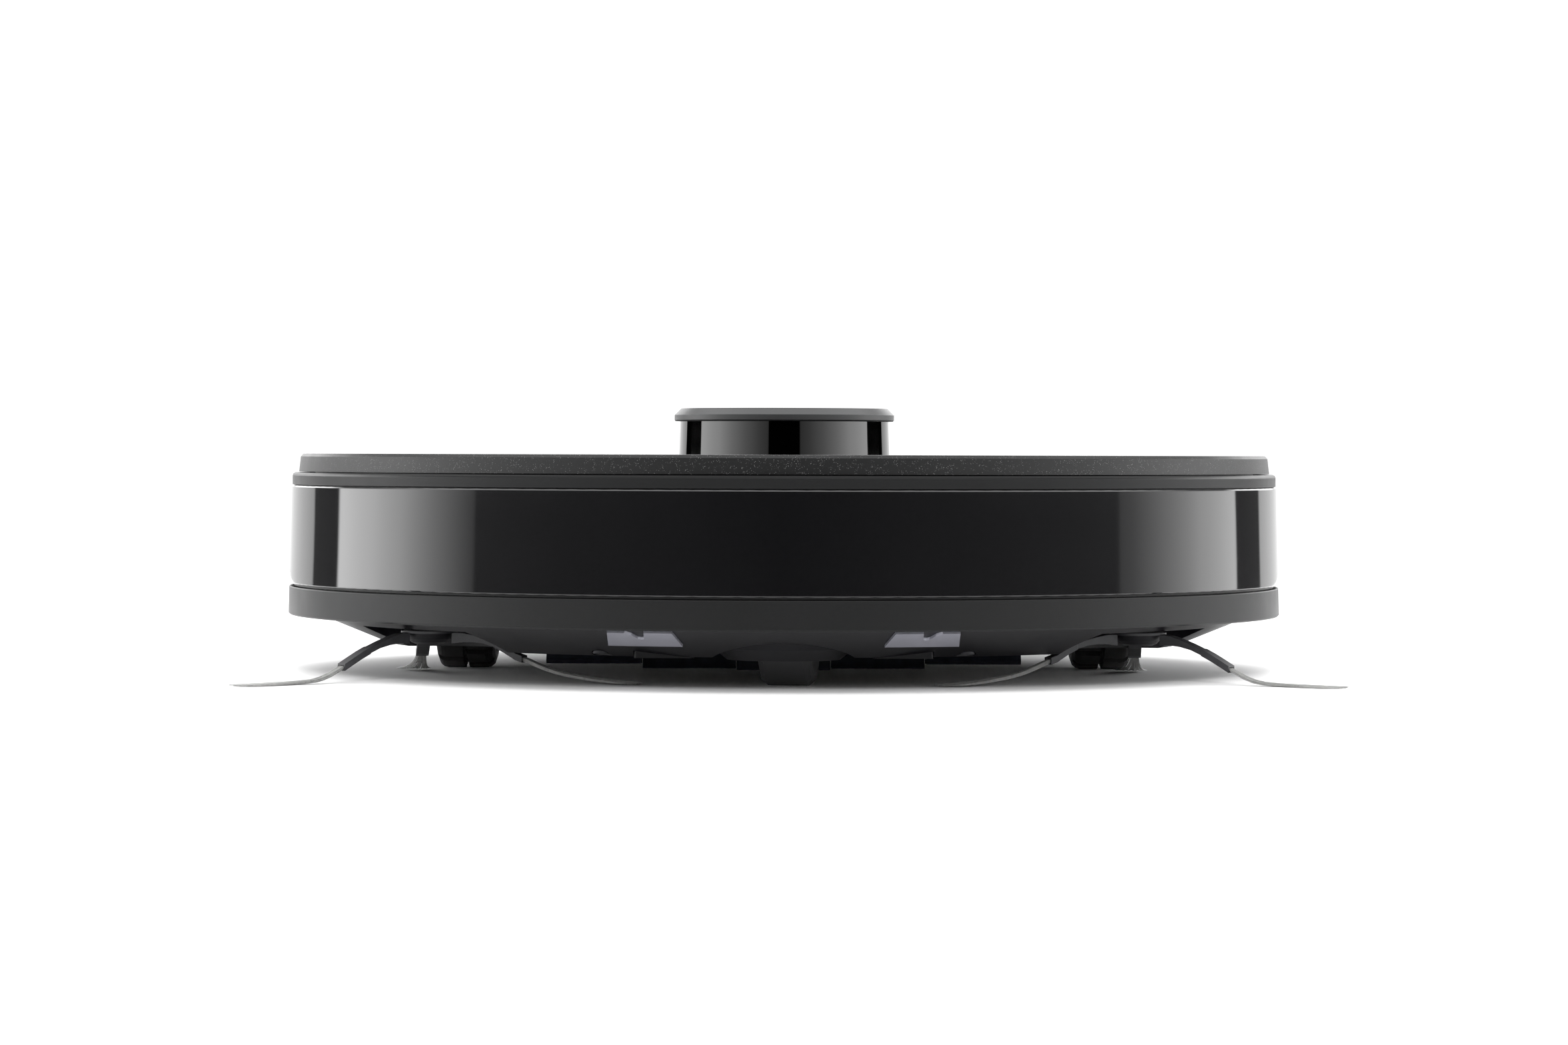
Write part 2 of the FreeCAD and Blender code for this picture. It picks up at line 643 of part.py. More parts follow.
def make_lidar_belt():
    """Loop round both pulleys: two arcs joined by their common tangents."""
    body = new_body("lidar_belt")
    big = d.pulley_radius.value - 1.4
    small = d.small_pulley_radius.value - 1.4
    far = d.lidar_motor_x.value
    loops = []
    for gap in (1.25, 0.25):
        lean = math.acos((big - small) / far)
        points = []
        for i in range(25):
            angle = lean + (2 * math.pi - 2 * lean) * i / 24
            points.append(((big + gap) * math.cos(angle), (big + gap) * math.sin(angle)))
        for i in range(9):
            angle = -lean + 2 * lean * i / 8
            points.append((far + (small + gap) * math.cos(angle), (small + gap) * math.sin(angle)))
        loops.append(poly(*points))
    add(body, "XY", 69.1, 70.9, *loops)
    place(body, y=d.turret_y)


# ---------------------------------------------------------------- side brushes

# middle line of an arm and of its tuft: distance from the hub, height, half thickness
PRESSED_ARM = ((9.2, 14.5, 1.9), (13, 14.4, 1.6), (17, 13.6, 1.25), (21, 12.4, 1), (25, 10.75, 1), (28.4, 9.15, 1),
               (32, 7.2, 1), (35.4, 5.3, 1))
FREE_ARM = ((9.2, 14.5, 1.9), (13, 14.7, 1.6), (17, 14.4, 1.25), (21, 13.8, 1), (25, 12.7, 1), (28.4, 11.2, 1),
            (33, 8.6, 1), (35.4, 7.8, 1))
PRESSED_TUFT = ((34.8, 5.6, 0.5), (38, 3.9, 0.6), (41, 2.6, 0.6), (46, 1.1, 0.5), (52, 0.7, 0.4), (62, 0.55, 0.35),
                (78.5, 0.45, 0.3))
FREE_TUFT = ((34.8, 7.95, 0.5), (38, 6.9, 0.6), (41, 5.6, 0.6), (46, 4, 0.6), (52, 2.7, 0.5), (62, 1.4, 0.5),
             (78.5, 0.5, 0.35))


def strip(line, swell=0):
    """Outline of a strip that follows a middle line."""
    top = [(reach, height + half + swell) for reach, height, half in line]
    bottom = [(reach, height - half - swell) for reach, height, half in reversed(line)]
    return poly(*top, *bottom)


def slot_outline(line, half):
    """Pocket in the end of an arm that holds the root of the tuft."""
    (near, near_height, _), (far, far_height, _) = line[-2:]
    start = far - 2.8
    slope = (far_height - near_height) / (far - near)
    low = far_height - 2.8 * slope
    return poly((start, low + half), (far + 0.3, far_height + 0.3 * slope + half),
                (far + 0.3, far_height + 0.3 * slope - half), (start, low - half))


def make_side_brush(side_name, side, turn, pressed):
    x = side * d.side_brush_x
    low, ring = d.hub_bottom, d.hub_radius
    hub = new_body(f"side_brush_hub_{side_name}")
    spin(hub, poly((0, low + 0.5), (2.4, low + 0.5), (3, low), (4.8, low), (6.2, low + 0.6), (7.4, low + 1.7),
                   (ring - 0.1, low + 3.4), (ring, low + 3.6), (ring, 17.1), (3, 17.1), (3, 23.6), (0, 23.6)))
    place(hub, x=x, y=-d.side_brush_y, angle=turn)

    # three curved rubber arms on one ring, each ending in a wider cuff; the outermost one is pressed lower
    arms = new_body(f"side_brush_arms_{side_name}")
    spin(arms, poly((ring, 16.1), (ring + 1, 16), (ring + 1, 16.9), (ring, 16.9)))
    half = d.arm_width / 2
    lines = [PRESSED_ARM if i == pressed else FREE_ARM for i in range(3)]
    for i, line in enumerate(lines):
        add(arms, "XZ", -half, half, strip(line), turn=120 * i)
        add(arms, "XZ", -half - 0.3, half + 0.3, strip(line[-4:], 0.15), turn=120 * i)
    for i, line in enumerate(lines):
        cut(arms, "XZ", -half + 0.2, half - 0.2, slot_outline(line, 0.6), turn=120 * i)
    place(arms, x=x, y=-d.side_brush_y, angle=turn)

    bristles = new_body(f"side_brush_bristles_{side_name}")
    for i, line in enumerate(lines):
        tuft = PRESSED_TUFT if i == pressed else FREE_TUFT
        add(bristles, "XZ", -half + 0.3, half - 0.3, slot_outline(line, 0.5), turn=120 * i)
        for angle in (-2, -1, 0, 1, 2):
            add(bristles, "XZ", -0.25, 0.25, strip(tuft), turn=120 * i + angle)
    place(bristles, x=x, y=-d.side_brush_y, angle=turn)

    gearbox = new_body(f"side_gearbox_{side_name}")
    add(gearbox, "XY", 20.2, 23.6, disc(0, 0, 9.6))
    add(gearbox, "XY", 23.2, 40, disc(0, 0, 13.6))
    x_low, x_high = between(-side, 0, 36)
    add(gearbox, "XY", 20.8, 38, rect(x_low, -12, x_high, 12))
    x_low, x_high = between(-side, 14, 38)
    add(gearbox, "YZ", x_low, x_high, disc(0, 32, 11))
    cut(gearbox, "XY", 18, 25, disc(0, 0, 3.4))
    place(gearbox, x=x, y=-d.side_brush_y)


# ---------------------------------------------------------------- main brush

def make_main_brush():
    half = d.brush_half_length
    core = new_body("main_brush_core")
    spin(core, poly((0, -half), (d.core_radius, -half), (d.core_radius, half), (0, half)))
    add(core, "XY", half - 1, half + 6, rect(-3, -3, 3, 3))
    spin(core, poly((0, -half - 7), (2.4, -half - 7), (2.4, -half + 1), (0, -half + 1)))
    place(core, y=-d.brush_y, z=d.brush_z, axis=(0, 1, 0), angle=90)

    fins = new_body("main_brush_fins")
    spin(fins, poly((d.core_radius, -half + 0.5), (d.sleeve_radius, -half + 0.5),
                    (d.sleeve_radius, half - 0.5), (d.core_radius, half - 0.5)))
    rows = []
    step = (2 * half - 1) / 5
    for i in range(5):
        low = -half + 0.5 + step * i
        # the brush sweeps dust to its middle, so each block is turned a little further
        rows.append(add(fins, "XZ", -1.1, 1.1,
                        rect(d.sleeve_radius - 0.6, low + 0.15, d.brush_radius, low + step - 0.15),
                        turn=14 * abs(i - 2)))
    around(fins, rows, 6)
    place(fins, y=-d.brush_y, z=d.brush_z, axis=(0, 1, 0), angle=90)

    bearing = new_body("main_brush_bearing")
    spin(bearing, poly((2.6, 1), (9, 1), (9, 3), (7, 3), (7, 7.4), (2.6, 7.4)))
    place(bearing, x=-d.bay_half_width + 0.4, y=-d.brush_y, z=d.brush_z, axis=(0, 1, 0), angle=90)

    gearbox = new_body("brush_gearbox")
    add(gearbox, "YZ", d.bay_half_width + 2.2, d.bay_half_width + 8.2,
        poly((-56, 13.4), (-14, 13.4), (-14, 30), (-30, 34), (-36, 42), (-56, 42)))
    add(gearbox, "YZ", 100, 128, disc(-46, 28, 10.4))
    cut(gearbox, "YZ", d.bay_half_width, d.bay_half_width + 6, disc(-d.brush_y, d.brush_z, 5.4))

    coupler = new_body("brush_drive_gear")
    spin(coupler, poly((0, 4.4), (0, -6.2), (5.2, -6.2), (5.2, -3), (5, -3), (5, 4.4)))
    cut(coupler, "XY", -8, 0, rect(-3.15, -3.15, 3.15, 3.15))
    place(coupler, x=d.bay_half_width + 1.2, y=-d.brush_y, z=d.brush_z, axis=(0, 1, 0), angle=90)


def make_brush_guard():
    body = new_body("brush_guard")
    half = d.bay_half_width - 0.6
    front, rear = -d.bay_front + 0.6, d.bay_rear - 0.6
    add(body, "XY", d.floor_gap - 0.6, d.floor_gap + 1.4, rect(-half, front, half, rear),
        rect(-d.brush_half_length, -d.brush_y - 20.5, d.brush_half_length, -d.brush_y + 20.5))
    # end cheeks that keep the brush ends down
    for side in (-1, 1):
        x_low, x_high = between(side, d.brush_half_length + 0.6, half)
        add(body, "XY", d.floor_gap, d.floor_gap + 6, rect(x_low, front + 3, x_high, -d.brush_y - 12.5))
    for side in (-1, 1):
        cut(body, "XY", 0, 20, rect(side * 60 - 8.5, front - 1, side * 60 + 8.5, front + 7.2))


def make_guard_latch(name, side):
    body = new_body(name)
    x = side * 60
    front = -d.bay_front.value + 0.6
    add(body, "XY", d.floor_gap - 0.4, d.floor_gap + 1.2, rect(x - 8.2, front + 0.2, x + 8.2, front + 3.6))
    for i in range(3):
        add(body, "XY", d.floor_gap - 1, d.floor_gap, rect(x - 6, front + 0.6 + i, x + 6, front + 1 + i))


# ---------------------------------------------------------------- drive wheels

def make_wheel(side_name, side):
    rim_name, tyre_name = f"wheel_rim_{side_name}", f"wheel_tyre_{side_name}"
    width = d.wheel_width
    rim = new_body(rim_name)
    edge = d.rim_radius
    spin(rim, poly((2.6, 2), (9, 2), (9, 5), (edge - 3, 6), (edge - 3, 0.6), (edge, 0.6), (edge, width - 0.6),
                   (edge - 3, width - 0.6), (edge - 3, 9), (9, 8), (9, width - 1), (2.6, width - 1)))
    hole = cut(rim, "XY", 0, width, disc(16.5, 0, 4.4))
    around(rim, [hole], 5)

    tyre = new_body(tyre_name)
    top = d.wheel_radius
    middle = width / 2
    spin(tyre, poly((edge, 0), (top - 3.4, 0), (top - 1.2, 0.8), (top - 0.3, 1.9), (top, 3.2),
                    (top, middle - 0.8), (top - 1.8, middle - 0.6), (top - 1.8, middle + 0.6),
                    (top, middle + 0.8), (top, width - 3.2), (top - 0.3, width - 1.9),
                    (top - 1.2, width - 0.8), (top - 3.4, width), (edge, width)))
    first = cut(tyre, "XY", -1, middle, rect(top - 2.1, -1.7, top + 2, 1.7))
    around(tyre, [first], 20)
    second = cut(tyre, "XY", middle, width + 1, rect(top - 2.1, -1.7, top + 2, 1.7), turn=9)
    around(tyre, [second], 20)

    for body in (rim, tyre):
        start = d.wheel_x if side > 0 else -d.wheel_x
        place(body, x=start, y=d.wheel_y, z=d.wheel_radius, axis=(0, 1, 0), angle=90 * side)

    arm = new_body(f"wheel_arm_{side_name}")
    x_low, x_high = between(side, 96.8, 101.6)
    axle_y, axle_z = d.wheel_y, d.wheel_radius
    add(arm, "YZ", x_low, x_high, disc(axle_y, axle_z, 12))
    add(arm, "YZ", x_low, x_high, disc(d.pivot_y, d.pivot_z, d.motor_radius))
    add(arm, "YZ", x_low, x_high, poly((axle_y, axle_z - 11.8), (d.pivot_y, d.pivot_z - 11.8),
                                       (d.pivot_y, d.pivot_z + 11.8), (axle_y, axle_z + 11.8)))
    x_low, x_high = between(side, 101, 122)
    add(arm, "YZ", x_low, x_high, disc(d.pivot_y, d.pivot_z, d.motor_radius - 1))
    x_low, x_high = between(side, 101, 102.8 + 19)
    add(arm, "YZ", x_low, x_high, disc(axle_y, axle_z, 2.4))
    # spring seat and pivot pin
    x_low, x_high = between(side, 80.6, 97.4)
    add(arm, "YZ", x_low, x_high, rect(24, 40.5, 36, 43.5))
    x_low, x_high = between(side, 90.4, 97)
    add(arm, "YZ", x_low, x_high, disc(d.pivot_y, d.pivot_z, 2.8))

    make_spring(f"wheel_spring_{side_name}", 4, 0.6, 6, 22.2, side * 85.6, 30, 43.7, (0, 0, 1), 0)


def make_caster():
    turn = d.caster_turn
    fork = new_body("caster_fork")
    outer = d.caster_well - 0.8
    spin(fork, poly((0, 29.2), (outer - 1, 29.2), (outer, 28), (outer, 16.4), (outer - 1.6, 13), (outer - 6.4, 9.2),
                    (0, 9.2)))
    add(fork, "XY", 29, 32.3, disc(0, 0, 3))
    half = d.caster_width / 2
    cut(fork, "XY", 0, 26.8, rect(-half - 0.5, d.caster_trail - 13.8, half + 0.5, d.caster_trail + 13.8))
    cut(fork, "YZ", -half - 3.5, half + 3.5, disc(d.caster_trail, d.caster_radius, 1.55))
    place(fork, y=-d.caster_y, angle=-turn)

    # the wheel trails behind the swivel axis, turned a little to one side
    offset_x = d.caster_trail.value * math.sin(math.radians(turn.value))
    offset_y = d.caster_trail.value * math.cos(math.radians(turn.value))
    wheel = new_body("caster_wheel")
    edge = d.caster_radius
    pin = half + 3
    spin(wheel, poly((0, -pin), (1.5, -pin), (1.5, -half), (edge - 3.4, -half), (edge - 1.2, -half + 0.6),
                     (edge, -half + 2.2), (edge, half - 2.2), (edge - 1.2, half - 0.6), (edge - 3.4, half),
                     (1.5, half), (1.5, pin), (0, pin)))
    tilt = FreeCAD.Rotation(FreeCAD.Vector(0, 1, 0), 90)
    wheel.Placement.Rotation = FreeCAD.Rotation(FreeCAD.Vector(0, 0, 1), -turn.value).multiply(tilt)
    for letter, length in (("x", offset_x), ("y", -d.caster_y + offset_y), ("z", edge)):
        wheel.setExpression(f"Placement.Base.{letter}", size(length).text)


# ---------------------------------------------------------------- dust path

def make_dust_bin():
    body = new_body("dustbin")
    half = d.bin_half_width
    low, high = d.bin_floor, d.bin_top
    front, rear = -d.bin_front, -d.bin_rear
    add(body, "XY", low, high, rect(-half, front, half, rear))
    corners = [(x * half.value, y.value) for x in (-1, 1) for y in (front, rear)]
    round_edges(body, 6, lambda edge: upright(edge, corners))
    cut(body, "XY", low + 1.8, high - 1.8, rect(-half + 1.8, front + 1.8, half - 1.8, rear - 1.8))
    cut(body, "XZ", rear - 4, rear + 4, rect(-23, 36.4, 23, d.bay_top - 0.6))
    cut(body, "XZ", rear - 4, rear + 4, rect(-half + 4, 51, -half + 30, high - 3))
    # grip across the top
    add(body, "XY", high - 10, high - 1, rect(-26, front + 18, 26, front + 48))
    cut(body, "XY", high - 8, high + 1, rect(-24, front + 20, 24, front + 46))
    add(body, "XY", high - 2.4, high, rect(-24.5, front + 30, 24.5, front + 36))


def make_filter():
    body = new_body("filter")
    x_low, x_high = -d.bin_half_width + 4.3, -d.bin_half_width + 29.7
    rear = -d.bin_rear
    add(body, "XY", 51.3, d.bin_top - 3.3, rect(x_low, rear - 8, x_high, rear - 0.2))
    pleat = cut(body, "XY", 50, d.bin_top, rect(x_low + 1.4, rear - 9, x_low + 2.6, rear - 2))
    along(body, [pleat], 9, 21.6)


def make_air_duct():
    body = new_body("air_duct")
    left, right = -78, -49
    profile = poly((-56.2, 49), (54, 49), (60, 62), (126, 62), (126, 73), (16, 73), (8, 69.8), (-56.2, 69.8))
    add(body, "YZ", left, right, profile)
    cut(body, "YZ", left + 1.6, right - 1.6,
        poly((-60, 50.6), (53, 50.6), (59, 63.6), (124.4, 63.6), (124.4, 71.4), (16.4, 71.4), (8.4, 68.2),
             (-60, 68.2)))
    cut(body, "XY", 60, 66, disc(-d.fan_x, d.fan_y, 13))


def make_fan():
    housing = new_body("fan_housing")
    low, high = d.fan_floor + 0.2, d.fan_roof
    add(housing, "XY", low, high, disc(0, 0, d.fan_radius))
    add(housing, "XY", low, high, rect(-32.8, 0, -14, 35))
    cut(housing, "XY", low + 2, high - 2, disc(0, 0, d.fan_radius - 2))
    cut(housing, "XZ", 0, 40, rect(-30.8, 41, -16, 57))
    cut(housing, "XY", high - 3, high + 1, disc(0, 0, 13))
    place(housing, x=-d.fan_x, y=d.fan_y)

    motor = new_body("fan_motor")
    spin(motor, poly((0, low + 2), (14, low + 2), (14, 46.4), (12, 48), (2, 48), (2, 50.4), (0, 50.4)))
    place(motor, x=-d.fan_x, y=d.fan_y)

    impeller = new_body("impeller")
    spin(impeller, poly((2.2, 49), (27, 49), (27, 50.4), (8, 51), (4, 57), (0, 57.6), (0, 50.8), (2.2, 50.8)))
    blade = add(impeller, "XY", 50, 57.4, poly((9, -0.6), (18, -3.2), (26.6, -9), (26.6, -7.6), (18, -1.8),
                                               (9, 0.7)))
    around(impeller, [blade], 9)
    place(impeller, x=-d.fan_x, y=d.fan_y)


# ---------------------------------------------------------------- power and electronics

def make_battery():
    body = new_body("battery")
    half = d.battery_half_width
    add(body, "XY", d.floor_gap + 3.2, d.battery_top, rect(-half, d.battery_front, half, d.battery_rear))
    corners = [(x * half.value, y.value) for x in (-1, 1) for y in (d.battery_front, d.battery_rear)]
    round_edges(body, 6, lambda edge: upright(edge, corners))

    cover = new_body("battery_cover")
    low = d.floor_gap
    half = d.battery_half_width + 0.6
    add(cover, "XY", low, low + 2.4,
        rect(-half, d.battery_front - 0.6, half, d.battery_rear + 0.6))
    rib = cut(cover, "XY", low - 1, low + 0.5, rect(-50, 36, 50, 37.6))
    along(cover, [rib], 6, 40, axis="Y_Axis")


def make_board():
    body = new_body("main_board")
    low = d.board_z
    add(body, "XY", low, low + 1.6, rect(-20, 24, 72, 90))
    add(body, "XY", low + 1.5, low + 3.4, rect(0, 34, 16, 50), rect(24, 36, 34, 44), rect(-14, 60, -2, 80),
        rect(10, 60, 20, 66), rect(28, 62, 44, 70))
    add(body, "XY", low + 1.5, low + 4.2, disc(60, 74, 4), disc(50, 74, 4), rect(58, 26, 70, 32))
    add(body, "XY", d.fan_floor, low + 0.2, disc(-16, 28, 3), disc(60, 28, 3), disc(-16, 86, 3), disc(60, 86, 3))


make_chassis()
make_rear_skirt()
make_top_deck()
make_lid()
make_hinge_pins()
make_button()
make_bumper_shell()
make_bumper_window()
for side_name, side in SIDES:
    make_spring(f"bumper_spring_{side_name}", 2.8, 0.45, 5, 12.4, side * d.spring_x, -147.6,
                d.spring_z, (1, 0, 0), 90)
    make_bumper_switch(f"bumper_switch_{side_name}", side)
    make_cliff_window(f"cliff_window_{side_name}", side)
    make_contact(f"charging_contact_{side_name}", side)
make_screws()
make_turret_window()
make_turret_cap()
make_lidar_base()
make_lidar_head()
make_lidar_lens()
make_lidar_motor()
make_lidar_pulley()
make_lidar_belt()
make_side_brush("left", -1, d.left_brush_turn, 1)
make_side_brush("right", 1, d.right_brush_turn, 2)
make_main_brush()
make_brush_guard()
for side_name, side in SIDES:
    make_guard_latch(f"guard_latch_{side_name}", side)
    make_wheel(side_name, side)
make_caster()
make_dust_bin()
make_filter()
make_air_duct()
make_fan()
make_battery()
make_board()
doc.recompute()

for item in doc.Objects:
    if "Invalid" in item.State or "Error" in item.State:
        raise RuntimeError(f"{item.Label} does not build: {item.State}")
for body in nodes:
    shape = body.Shape
    if shape.isNull() or not shape.isValid() or not shape.Solids:
        raise RuntimeError(f"{body.Label} is not a sound solid")
    shape.exportStep(f"parts/{body.Label}.step")
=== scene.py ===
"""Robot vacuum: finishes, side brush bristles and studio. Lengths are in metres unless noted."""

import json
import math
import random

import bpy
from mathutils import Matrix, Vector


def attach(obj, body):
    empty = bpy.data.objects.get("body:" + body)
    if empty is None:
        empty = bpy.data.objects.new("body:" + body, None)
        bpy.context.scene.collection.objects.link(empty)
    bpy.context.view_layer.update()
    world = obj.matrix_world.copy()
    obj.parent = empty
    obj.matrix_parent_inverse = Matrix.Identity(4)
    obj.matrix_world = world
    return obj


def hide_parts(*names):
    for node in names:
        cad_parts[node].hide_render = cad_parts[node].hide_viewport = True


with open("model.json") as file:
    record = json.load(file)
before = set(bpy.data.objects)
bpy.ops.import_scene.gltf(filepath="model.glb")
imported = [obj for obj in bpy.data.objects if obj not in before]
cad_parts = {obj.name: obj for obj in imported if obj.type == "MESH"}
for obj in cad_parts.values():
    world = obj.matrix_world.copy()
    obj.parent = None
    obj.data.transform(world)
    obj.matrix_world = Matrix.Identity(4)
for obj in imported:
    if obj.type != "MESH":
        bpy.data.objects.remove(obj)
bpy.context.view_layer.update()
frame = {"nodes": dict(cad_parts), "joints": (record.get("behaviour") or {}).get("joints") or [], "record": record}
nodes = frame["nodes"]
joint_at = {joint["name"]: joint["pos_m"] for joint in frame["joints"] if "pos_m" in joint}

# the camera looks from the front; lens and sensor are in millimetres
CAMERA_DISTANCE = 1.637
CAMERA_HEIGHT = 0.0772
CAMERA_PITCH = math.radians(-0.869)
CAMERA_ROLL = math.radians(0.163)
LENS = 104.9
SENSOR_WIDTH = 36
CLIP_START = 0.05

# brightness of the studio's soft top, and how far the turret's mirrored band is raised
TOP_LIGHT = 2.3
TURRET_BAND_RISE = 0.056

# metallic fleck in the deck plastic
FLECK_SPACING = 0.00045
FLECK_PATCH = 0.0016


# ---------------------------------------------------------------- materials

class Shader:
    """A small helper that chains shader nodes of one material."""

    def __init__(self, name):
        self.material = bpy.data.materials.new(name)
        self.material.use_nodes = True
        self.tree = self.material.node_tree
        self.surface = self.tree.nodes["Principled BSDF"]
        self.place = self.tree.nodes.new("ShaderNodeTexCoord").outputs["Object"]

    def node(self, kind, **values):
        made = self.tree.nodes.new(kind)
        for key, value in values.items():
            if hasattr(made, key):
                setattr(made, key, value)
            else:
                made.inputs[key.replace("_", " ")].default_value = value
        return made

    def link(self, source, target):
        self.tree.links.new(source, target)

    def noise(self, size, detail=2.0, where=None):
        """Soft noise whose blotches are about size across."""
        made = self.node("ShaderNodeTexNoise", Scale=1.0 / size, Detail=detail)
        self.link(where or self.place, made.inputs["Vector"])
        return made.outputs["Fac"]

    def ramp(self, source, stops):
        """Colour by the source's value, from (value, colour) stops."""
        made = self.node("ShaderNodeValToRGB")
        ends = made.color_ramp.elements
        for i, (position, value) in enumerate(stops):
            stop = ends[i] if i < 2 else ends.new(position)
            stop.position = position
            stop.color = (*value, 1)
        self.link(source, made.inputs["Fac"])
        return made.outputs["Color"]

    def span(self, source, low, high):
        """A source that runs from 0 to 1, stretched to run from low to high."""
        made = self.node("ShaderNodeMapRange")
        made.inputs["To Min"].default_value = low
        made.inputs["To Max"].default_value = high
        self.link(source, made.inputs["Value"])
        return made.outputs["Result"]

    def bump(self, source, distance, under=None):
        """A surface raised by the source up to distance, over the normal given as under."""
        made = self.node("ShaderNodeBump", Strength=1.0, Distance=distance)
        self.link(source, made.inputs["Height"])
        if under:
            self.link(under, made.inputs["Normal"])
        return made.outputs["Normal"]

    def rounded(self, radius):
        """A normal that shades sharp edges as if they had this radius."""
        made = self.node("ShaderNodeBevel", samples=4)
        made.inputs["Radius"].default_value = radius
        return made.outputs["Normal"]


def grey(value):
    return (value, value, value)


def tint(colour, gain):
    return tuple(channel * gain for channel in colour)


def plastic(name, colour, rough, grain=0.00035, depth=0.00001, fleck=0.0, edge=0.0003, spread=0.1,
            shine=0.5):
    """Moulded plastic: fine grain, slow colour drift, uneven gloss and, if asked, a metallic fleck."""
    s = Shader(name)
    drift = s.noise(0.03, 3)
    base = s.ramp(drift, [(0.3, tint(colour, 1 - spread)), (0.7, tint(colour, 1 + spread))])
    if fleck:
        speck = s.node("ShaderNodeTexVoronoi", Scale=1.0 / FLECK_SPACING, Randomness=1.0)
        s.link(s.place, speck.inputs["Vector"])
        dots = s.ramp(speck.outputs["Distance"], [(0.0, grey(1)), (0.22, grey(0))])
        rare = s.ramp(s.noise(FLECK_PATCH, 1), [(0.44, grey(0)), (0.56, grey(1))])
        mask = s.node("ShaderNodeMath", operation="MULTIPLY")
        s.link(dots, mask.inputs[0])
        s.link(rare, mask.inputs[1])
        mix = s.node("ShaderNodeMix", data_type="RGBA")
        s.link(mask.outputs["Value"], mix.inputs["Factor"])
        s.link(base, mix.inputs["A"])
        mix.inputs["B"].default_value = (*grey(fleck), 1)
        base = mix.outputs["Result"]
    s.link(base, s.surface.inputs["Base Color"])
    s.link(s.span(s.noise(0.012, 4), rough * 0.85, rough * 1.15), s.surface.inputs["Roughness"])
    s.link(s.bump(s.noise(grain, 2), depth, under=s.rounded(edge)), s.surface.inputs["Normal"])
    s.surface.inputs["Specular IOR Level"].default_value = shine
    return s.material


def gloss(name, colour, rough):
    """High-gloss plastic with faint moulding waves, uneven polish and a little dust."""
    s = Shader(name)
    dust = s.ramp(s.noise(0.0009, 4), [(0.62, colour), (0.8, tint(colour, 1.6))])
    s.link(dust, s.surface.inputs["Base Color"])
    s.link(s.span(s.noise(0.02, 3), rough * 0.8, rough * 1.3), s.surface.inputs["Roughness"])
    s.link(s.bump(s.noise(0.06, 1), 0.00002), s.surface.inputs["Normal"])
    s.surface.inputs["Coat Weight"].default_value = 0.3
    s.surface.inputs["Coat Roughness"].default_value = 0.03
    return s.material


def metal(name, colour, rough, brush=(1, 1, 30)):
    """Metal with fine lines, drawn out by brush along each axis."""
    s = Shader(name)
    stretch = s.node("ShaderNodeMapping")
    stretch.inputs["Scale"].default_value = brush
    s.link(s.place, stretch.inputs["Vector"])
    lines = s.noise(0.0012, 4, stretch.outputs["Vector"])
    s.link(s.ramp(lines, [(0.3, tint(colour, 0.88)), (0.7, colour)]), s.surface.inputs["Base Color"])
    s.link(s.span(lines, rough * 0.7, rough * 1.4), s.surface.inputs["Roughness"])
    s.link(s.bump(lines, 0.000006, under=s.rounded(0.0002)), s.surface.inputs["Normal"])
    s.surface.inputs["Metallic"].default_value = 1.0
    return s.material


def rubber(name, colour, rough):
    """Matt rubber with scuffs."""
    s = Shader(name)
    scuff = s.ramp(s.noise(0.004, 5), [(0.35, tint(colour, 0.8)), (0.75, tint(colour, 1.35))])
    s.link(scuff, s.surface.inputs["Base Color"])
    s.link(s.span(s.noise(0.002, 3), rough * 0.85, rough * 1.15), s.surface.inputs["Roughness"])
    s.link(s.bump(s.noise(0.0005, 3), 0.00003, under=s.rounded(0.0003)), s.surface.inputs["Normal"])
    return s.material


def nylon(name, colour, rough, clear):
    """Clear filament, a little cloudier from one strand to the next."""
    s = Shader(name)
    cloud = s.ramp(s.noise(0.0015, 2), [(0.3, tint(colour, 0.75)), (0.7, colour)])
    s.link(cloud, s.surface.inputs["Base Color"])
    s.link(s.span(s.noise(0.003, 2), rough * 0.7, rough * 1.3), s.surface.inputs["Roughness"])
    s.surface.inputs["Transmission Weight"].default_value = clear
    s.surface.inputs["IOR"].default_value = 1.4
    return s.material


def board_green(name):
    """Circuit board lacquer with rows of tracks."""
    s = Shader(name)
    grid = s.node("ShaderNodeTexBrick", Scale=1.0)
    for key, value in (("Brick Width", 0.006), ("Row Height", 0.0022), ("Mortar Size", 0.0002)):
        grid.inputs[key].default_value = value
    grid.inputs["Color1"].default_value = (0.01, 0.09, 0.03, 1)
    grid.inputs["Color2"].default_value = (0.012, 0.075, 0.03, 1)
    grid.inputs["Mortar"].default_value = (0.05, 0.2, 0.07, 1)
    s.link(s.place, grid.inputs["Vector"])
    s.link(grid.outputs["Color"], s.surface.inputs["Base Color"])
    s.link(s.span(s.noise(0.004, 3), 0.25, 0.45), s.surface.inputs["Roughness"])
    return s.material


def paper(name):
    """Fibrous filter paper."""
    s = Shader(name)
    s.link(s.ramp(s.noise(0.0012, 5), [(0.3, (0.62, 0.61, 0.56)), (0.7, (0.8, 0.79, 0.74))]),
           s.surface.inputs["Base Color"])
    s.surface.inputs["Roughness"].default_value = 0.9
    s.link(s.bump(s.noise(0.0004, 4), 0.0001), s.surface.inputs["Normal"])
    return s.material


def glassy(name, colour):
    """Dark tinted glass under a full clear coat."""
    material = gloss(name, colour, 0.04)
    material.node_tree.nodes["Principled BSDF"].inputs["Coat Weight"].default_value = 1.0
    return material


